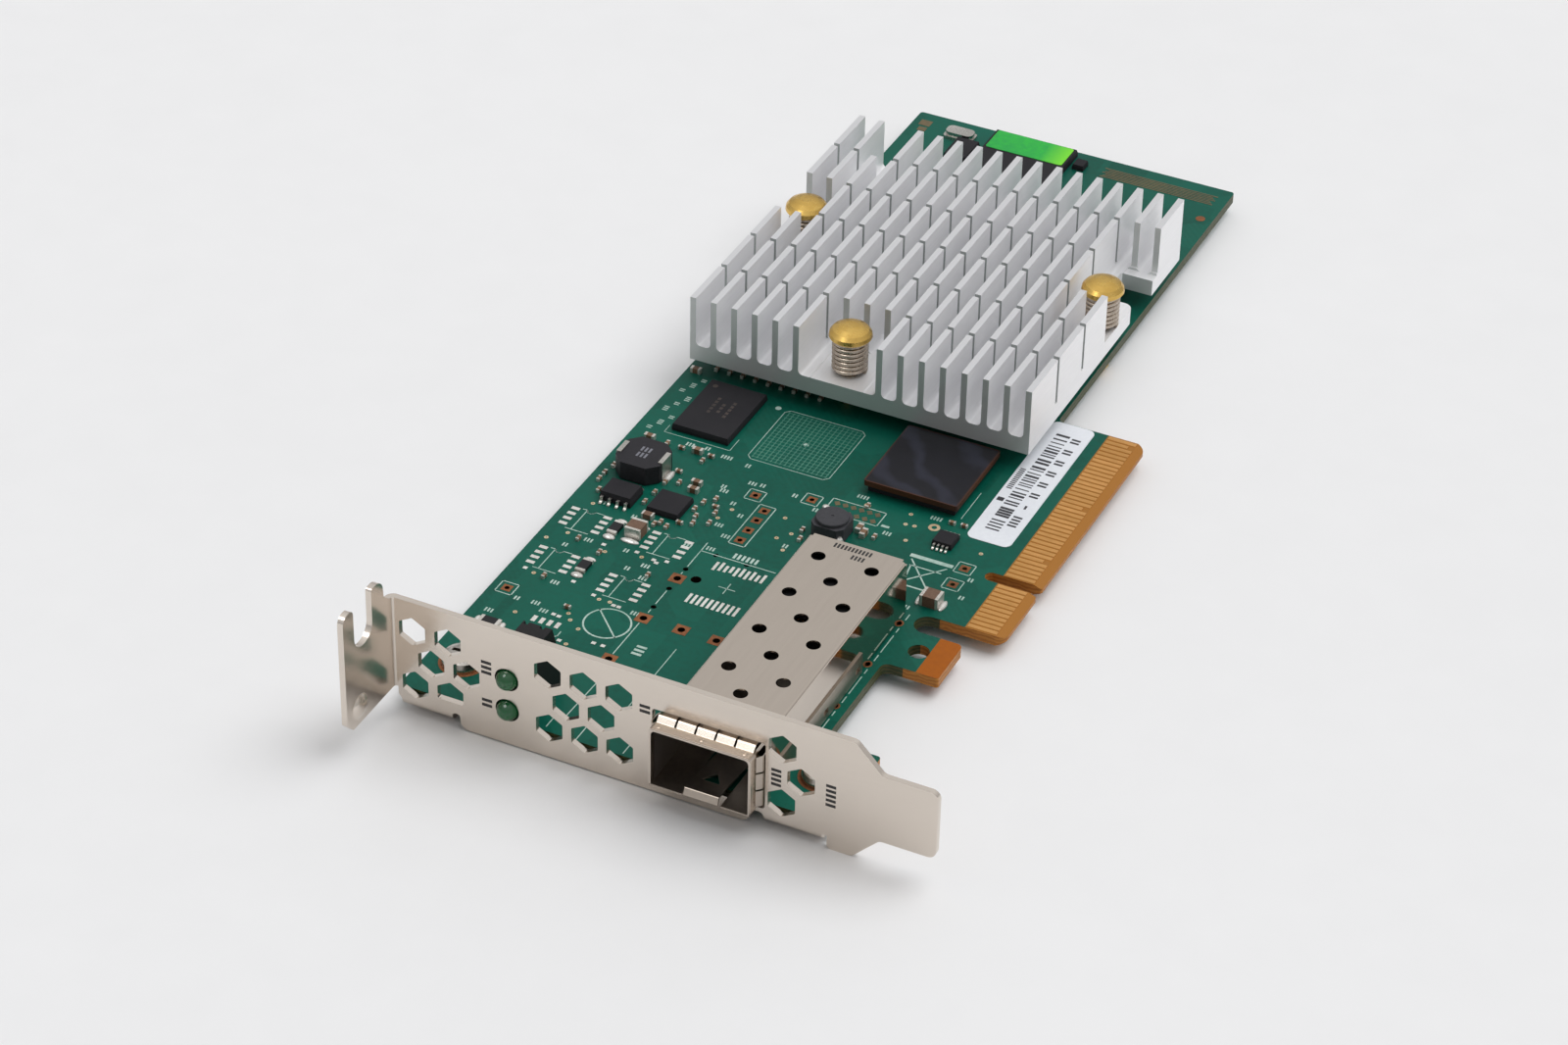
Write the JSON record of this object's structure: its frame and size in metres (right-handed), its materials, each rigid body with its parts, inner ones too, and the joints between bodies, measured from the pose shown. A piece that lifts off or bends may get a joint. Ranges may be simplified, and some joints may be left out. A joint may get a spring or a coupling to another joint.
{
  "type": "network interface card",
  "caption": "Low-profile network card: green board with edge connector, steel bracket, caged optical port and finned heatsink.",
  "frame": {"origin": "tip of the edge connector's tongue, at the middle of its key notch, on the board's component face", "axes": "+X out of the tongue into the socket, +Y from the bracket to the far end of the board, +Z away from the component face"},
  "size_m": [0.0793, 0.1815, 0.0229],
  "materials": {
    "green_solder_mask": "satin green solder mask over glass-fibre laminate",
    "gold_plate": "thin gold plate over nickel",
    "nickel_plated_steel": "satin nickel plate on stamped steel",
    "screw_steel": "bright nickel plate",
    "cage_nickel_silver": "bright rolled nickel silver sheet",
    "spring_collar_plate": "bright nickel plate on thin spring sheet",
    "black_moulding": "black glass-filled moulding",
    "anodised_aluminium": "clear anodised aluminium extrusion",
    "brass": "turned bright brass",
    "spring_steel": "drawn spring wire",
    "chip_laminate": "chip carrier laminate",
    "lid_metal": "satin nickel plated lid",
    "thermal_pad": "soft grey silicone pad",
    "chip_moulding": "charcoal epoxy moulding",
    "blackened_copper": "copper plate with a blackened top",
    "tinned_leads": "matt tin plate",
    "ferrite": "charcoal ferrite",
    "green_lens": "tinted clear epoxy lens",
    "can_metal": "seam-welded metal can",
    "white_label": "white label stock",
    "green_sticker": "bright green sticker",
    "brown_ceramic": "brown capacitor ceramic",
    "tinned_ends": "tinned end caps",
    "resistor_glaze": "dark resistor glaze",
    "tan_ceramic": "tan capacitor ceramic"
  },
  "bodies": {
    "root": {"circuit_board": "green_solder_mask", "edge_contacts": "gold_plate", "bracket": "nickel_plated_steel", "bracket_screws": "screw_steel", "cage_shell": "cage_nickel_silver", "cage_base": "cage_nickel_silver", "cage_spring_collar": "spring_collar_plate", "port_connector": "black_moulding", "port_contacts": "gold_plate", "heatsink": "anodised_aluminium", "heatsink_pins": "brass", "heatsink_springs": "spring_steel", "controller_substrate": "chip_laminate", "controller_lid": "lid_metal", "thermal_pad": "thermal_pad", "memory_chip": "chip_moulding", "switch_chip": "chip_moulding", "heat_spreader": "blackened_copper", "driver_chip": "chip_moulding", "driver_chip_leads": "tinned_leads", "regulator_chip": "chip_moulding", "flash_chip": "chip_moulding", "flash_chip_leads": "tinned_leads", "far_end_chips": "chip_moulding", "power_inductor": "ferrite", "power_inductor_terminals": "tinned_leads", "round_inductor": "ferrite", "round_inductor_terminals": "tinned_ends", "lamp_housing": "black_moulding", "lamp_lenses": "green_lens", "lamp_leads": "tinned_leads", "crystal_can": "can_metal", "board_label": "white_label", "chip_sticker": "green_sticker", "bulk_capacitors": "brown_ceramic", "bulk_capacitor_ends": "tinned_ends", "chip_resistors": "resistor_glaze", "chip_resistor_ends": "tinned_ends", "chip_capacitors": "tan_ceramic", "chip_capacitor_ends": "tinned_ends"}
  },
  "joints": []
}
